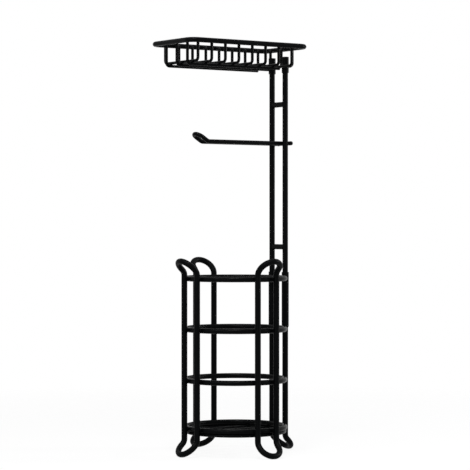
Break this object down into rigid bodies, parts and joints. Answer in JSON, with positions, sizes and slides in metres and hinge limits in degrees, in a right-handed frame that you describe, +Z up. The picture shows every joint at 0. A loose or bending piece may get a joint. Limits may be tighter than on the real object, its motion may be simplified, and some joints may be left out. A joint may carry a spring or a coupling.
{
  "type": "toilet roll storage holder",
  "caption": "Free-standing black wire holder: a round cage for spare rolls, a ladder upright with a roll arm, and a lift-off wire basket on top.",
  "frame": {"origin": "on the floor, under the middle of the whole holder's bounding box", "axes": "+Z up; the roll arm points along -Y and the ladder stands at the back, towards +Y"},
  "size_m": [0.2326, 0.2506, 0.6961],
  "materials": {
    "black_coat": "satin"
  },
  "bodies": {
    "cage": {"ring_1": "black_coat", "ring_2": "black_coat", "ring_3": "black_coat", "ring_4": "black_coat", "base_ring": "black_coat", "base_wire_1": "black_coat", "base_wire_2": "black_coat", "base_wire_3": "black_coat", "base_wire_4": "black_coat", "leg_loop_front": "black_coat", "leg_loop_right": "black_coat", "leg_loop_left": "black_coat", "rear_foot_loop": "black_coat", "sleeve_left": "black_coat", "sleeve_right": "black_coat"},
    "upright": {"post_left": "black_coat", "post_right": "black_coat", "lower_rung": "black_coat", "upper_rung": "black_coat", "arm_crossbar": "black_coat", "roll_arm": "black_coat"},
    "basket": {"basket_rim": "black_coat", "cross_wire_1": "black_coat", "cross_wire_2": "black_coat", "cross_wire_3": "black_coat", "cross_wire_4": "black_coat", "cross_wire_5": "black_coat", "cross_wire_6": "black_coat", "cross_wire_7": "black_coat", "cross_wire_8": "black_coat", "long_wire_1": "black_coat", "long_wire_2": "black_coat", "long_wire_3": "black_coat", "back_wire_1": "black_coat", "back_wire_2": "black_coat", "back_wire_3": "black_coat", "socket_left": "black_coat", "socket_right": "black_coat"}
  },
  "joints": [
    {"name": "upright_lift", "type": "slide", "parent": "cage", "child": "upright", "axis": [0, 0, 1], "range_m": [0, 0.1]},
    {"name": "basket_lift", "type": "slide", "parent": "upright", "child": "basket", "axis": [0, 0, 1], "range_m": [0, 0.03]}
  ]
}
